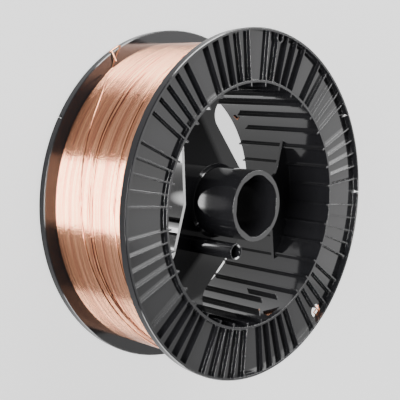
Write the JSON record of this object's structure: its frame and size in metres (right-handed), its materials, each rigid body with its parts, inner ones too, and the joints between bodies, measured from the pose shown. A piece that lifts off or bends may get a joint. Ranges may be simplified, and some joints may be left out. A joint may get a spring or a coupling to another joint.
{
  "type": "welding wire spool",
  "caption": "Black plastic spool with ribbed flanges, an open drum and a hub on a three-armed web, wound with copper-coated welding wire.",
  "frame": {"origin": "on the spool axis, in the plane of the rear rim's face on which the spool stands", "axes": "the spool axis is vertical, the front flange of the picture faces +Z, +X is the picture's right and +Y its up seen from the front"},
  "size_m": [0.3, 0.3, 0.1064],
  "materials": {
    "spool_plastic": "gloss",
    "copper_wire": "satin"
  },
  "bodies": {
    "root": {"spool": "spool_plastic", "wire_winding": "copper_wire", "wire_outer_end": "copper_wire", "wire_inner_end": "copper_wire", "wire_front_end": "copper_wire"}
  },
  "joints": []
}
